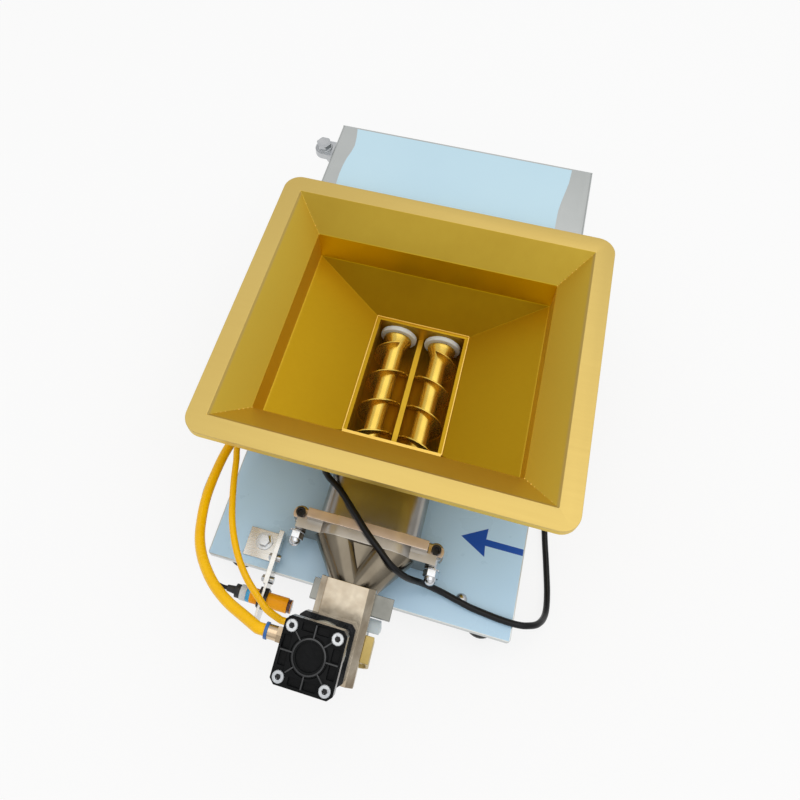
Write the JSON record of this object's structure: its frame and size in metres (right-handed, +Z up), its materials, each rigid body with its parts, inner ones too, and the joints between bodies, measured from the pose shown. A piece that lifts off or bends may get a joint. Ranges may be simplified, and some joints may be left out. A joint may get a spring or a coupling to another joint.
{
  "type": "dough divider",
  "caption": "Table-top dough divider: funnel hopper over coupled feed screws, clamped nozzle and a leaning air-driven knife on a footed tray.",
  "frame": {"origin": "middle of the machine's footprint at the level of the feet, the free cord left out", "axes": "+Z up, -Y towards the outlet and knife, +X to the right seen from the outlet"},
  "size_m": [0.4638, 0.9002, 0.25],
  "materials": {
    "tray_steel": "satin, under a pale blue film",
    "housing_steel": "brushed, top under a pale blue film",
    "gold_steel": "satin gold",
    "screw_gold": "polished gold",
    "bronze_steel": "polished cast steel",
    "steel": "satin",
    "bracket_steel": "satin",
    "zinc": "bright zinc",
    "black_bolts": "black oxide",
    "gear_steel": "machined",
    "bearing_steel": "ground",
    "block_paint": "painted grey",
    "motor_paint": "satin blue",
    "seal_plastic": "white",
    "guide_plastic": "pale blue-white",
    "block_alu": "milled",
    "cylinder_alu": "anodised",
    "cap_black": "black anodised",
    "rod_chrome": "ground chrome",
    "fitting_brass": "bright",
    "hose_yellow": "smooth",
    "black_plastic": "moulded",
    "sensor_orange": "orange barrel",
    "rubber_black": "matt",
    "green_button": "green"
  },
  "bodies": {
    "machine": {"base_tray": "tray_steel", "rubber_feet": "rubber_black", "base_screws": "zinc", "rear_housing": "housing_steel", "rear_cover": "housing_steel", "cover_screws": "zinc", "hopper": "gold_steel", "trough": "gold_steel", "barrel": "bronze_steel", "support_saddles": "steel", "screw_seals": "seal_plastic", "bearing_block": "block_paint", "bearings": "bearing_steel", "reducer": "block_paint", "motor": "motor_paint", "fan_cowl": "motor_paint", "flange_pins": "black_bolts", "nozzle": "bronze_steel", "outlet_block": "block_alu", "guide_block": "guide_plastic", "outlet_chute": "gold_steel", "cutter_bracket": "bracket_steel", "cylinder_bottom_cap": "cap_black", "cylinder_tube": "cylinder_alu", "cylinder_top_cap": "cap_black", "tie_rods": "zinc", "top_fitting": "fitting_brass", "bottom_fitting": "fitting_brass", "thick_hose": "hose_yellow", "thin_hose": "hose_yellow", "solenoid_valve": "block_alu", "valve_coil": "black_plastic", "valve_ports": "fitting_brass", "sensor_bracket": "steel", "sensor_screws": "zinc", "photo_sensor": "sensor_orange", "sensor_nuts": "black_plastic", "sensor_cable": "rubber_black", "power_cord": "rubber_black", "cord_coil": "rubber_black", "plug": "rubber_black", "cable_glands": "black_plastic", "side_lug": "zinc"},
    "left_feed": {"left_screw": "screw_gold", "left_shaft": "steel", "left_gear": "gear_steel"},
    "right_feed": {"right_screw": "screw_gold", "right_shaft": "steel", "right_gear": "gear_steel", "reducer_hub": "steel"},
    "cutter": {"piston": "cylinder_alu", "piston_rod": "rod_chrome", "knife_holder": "steel", "knife": "steel"},
    "left_clamp": {"left_eye_bolt": "zinc", "left_nut": "zinc"},
    "right_clamp": {"right_eye_bolt": "zinc", "right_nut": "zinc"},
    "knob": {"speed_knob": "black_plastic"},
    "start": {"start_button": "green_button"}
  },
  "joints": [
    {"name": "right_feed_spin", "type": "hinge", "parent": "machine", "child": "right_feed", "pos_m": [0.032, 0, 0.088], "axis": [0, 1, 0], "continuous": true},
    {"name": "left_feed_spin", "type": "hinge", "parent": "machine", "child": "left_feed", "pos_m": [-0.032, 0, 0.088], "axis": [0, 1, 0], "continuous": true},
    {"name": "knife_slide", "type": "slide", "parent": "machine", "child": "cutter", "axis": [0, 0.225, -0.9744], "range_m": [0, 0.04]},
    {"name": "left_clamp_swing", "type": "hinge", "parent": "machine", "child": "left_clamp", "pos_m": [-0.086, -0.1667, 0.088], "axis": [0, 0, 1], "range_deg": [-90, 0]},
    {"name": "right_clamp_swing", "type": "hinge", "parent": "machine", "child": "right_clamp", "pos_m": [0.086, -0.1667, 0.088], "axis": [0, 0, 1], "range_deg": [0, 90]},
    {"name": "knob_turn", "type": "hinge", "parent": "machine", "child": "knob", "pos_m": [0.183, 0.262, 0.16], "axis": [1, 0, 0], "range_deg": [-135, 135]},
    {"name": "start_press", "type": "slide", "parent": "machine", "child": "start", "axis": [-1, 0, 0], "range_m": [0, 0.003], "stiffness_N_per_m": 500, "springref_m": -0.002}
  ],
  "couplings": [
    {"joint": "left_feed_spin", "follows": "right_feed_spin", "ratio": -1}
  ]
}
